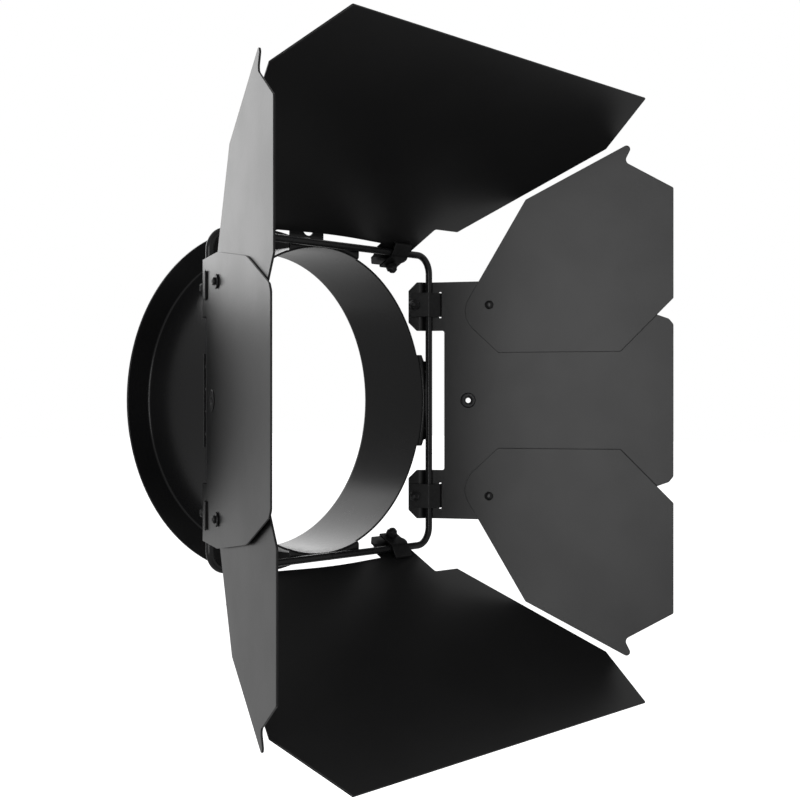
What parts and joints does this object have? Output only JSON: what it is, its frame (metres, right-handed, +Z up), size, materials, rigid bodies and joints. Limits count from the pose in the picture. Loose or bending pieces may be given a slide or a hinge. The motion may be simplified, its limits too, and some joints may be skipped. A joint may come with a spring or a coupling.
{
  "type": "barn doors",
  "caption": "Hinged sheet-metal barn doors with swinging side wings on a wire frame and flanged round collar, for shaping a studio light's beam.",
  "frame": {"origin": "centre of the flange's back face, on the collar's axis", "axes": "+Y along the collar's axis towards the lamp, so light leaves towards -Y; +Z up; +X to the right seen from the front"},
  "size_m": [0.392, 0.2219, 0.4096],
  "materials": {
    "powder_coat": "satin black powder coat over sheet aluminium",
    "rod_coat": "satin black paint over steel rod",
    "hardware": "black oxide steel"
  },
  "bodies": {
    "root": {"collar": "powder_coat", "rod_frame": "rod_coat"},
    "leaf_top": {"leaf_top": "powder_coat", "strap_top_left": "hardware", "clamp_screw_top_left": "hardware", "clamp_nut_top_left": "hardware", "strap_top_right": "hardware", "clamp_screw_top_right": "hardware", "clamp_nut_top_right": "hardware"},
    "leaf_bottom": {"leaf_bottom": "powder_coat", "strap_bottom_left": "hardware", "clamp_screw_bottom_left": "hardware", "clamp_nut_bottom_left": "hardware", "strap_bottom_right": "hardware", "clamp_screw_bottom_right": "hardware", "clamp_nut_bottom_right": "hardware"},
    "leaf_left": {"leaf_left": "powder_coat", "strap_left_upper": "hardware", "clamp_screw_left_upper": "hardware", "clamp_nut_left_upper": "hardware", "wing_rivet_left_upper": "hardware", "wing_washer_left_upper": "hardware", "strap_left_lower": "hardware", "clamp_screw_left_lower": "hardware", "clamp_nut_left_lower": "hardware", "wing_rivet_left_lower": "hardware", "wing_washer_left_lower": "hardware", "wing_spacer_left_lower": "hardware", "eyelet_left": "hardware"},
    "leaf_right": {"leaf_right": "powder_coat", "strap_right_upper": "hardware", "clamp_screw_right_upper": "hardware", "clamp_nut_right_upper": "hardware", "wing_rivet_right_upper": "hardware", "wing_washer_right_upper": "hardware", "strap_right_lower": "hardware", "clamp_screw_right_lower": "hardware", "clamp_nut_right_lower": "hardware", "wing_rivet_right_lower": "hardware", "wing_washer_right_lower": "hardware", "wing_spacer_right_lower": "hardware", "eyelet_right": "hardware"},
    "wing_left_upper": {"wing_left_upper": "powder_coat"},
    "wing_left_lower": {"wing_left_lower": "powder_coat"},
    "wing_right_upper": {"wing_right_upper": "powder_coat"},
    "wing_right_lower": {"wing_right_lower": "powder_coat"}
  },
  "joints": [
    {"name": "leaf_top_hinge", "type": "hinge", "parent": "root", "child": "leaf_top", "pos_m": [0, -0.0635, 0.1063], "axis": [1, 0, 0], "range_deg": [-44, 60]},
    {"name": "leaf_bottom_hinge", "type": "hinge", "parent": "root", "child": "leaf_bottom", "pos_m": [0, -0.0635, -0.1063], "axis": [-1, 0, 0], "range_deg": [-57, 60]},
    {"name": "leaf_left_hinge", "type": "hinge", "parent": "root", "child": "leaf_left", "pos_m": [-0.1063, -0.0635, 0], "axis": [0, 0, -1], "range_deg": [-49, 60]},
    {"name": "leaf_right_hinge", "type": "hinge", "parent": "root", "child": "leaf_right", "pos_m": [0.1063, -0.0635, 0], "axis": [0, 0, 1], "range_deg": [-49, 60]},
    {"name": "wing_left_upper_pivot", "type": "hinge", "parent": "leaf_left", "child": "wing_left_upper", "pos_m": [-0.12987, -0.10129, 0.07], "axis": [0.8704, -0.4924, 0], "range_deg": [0, 90]},
    {"name": "wing_left_lower_pivot", "type": "hinge", "parent": "leaf_left", "child": "wing_left_lower", "pos_m": [-0.12856, -0.10203, -0.07], "axis": [-0.8704, 0.4924, 0], "range_deg": [0, 90]},
    {"name": "wing_right_upper_pivot", "type": "hinge", "parent": "leaf_right", "child": "wing_right_upper", "pos_m": [0.12987, -0.10129, 0.07], "axis": [0.8704, 0.4924, 0], "range_deg": [0, 90]},
    {"name": "wing_right_lower_pivot", "type": "hinge", "parent": "leaf_right", "child": "wing_right_lower", "pos_m": [0.12856, -0.10203, -0.07], "axis": [-0.8704, -0.4924, 0], "range_deg": [0, 90]}
  ]
}
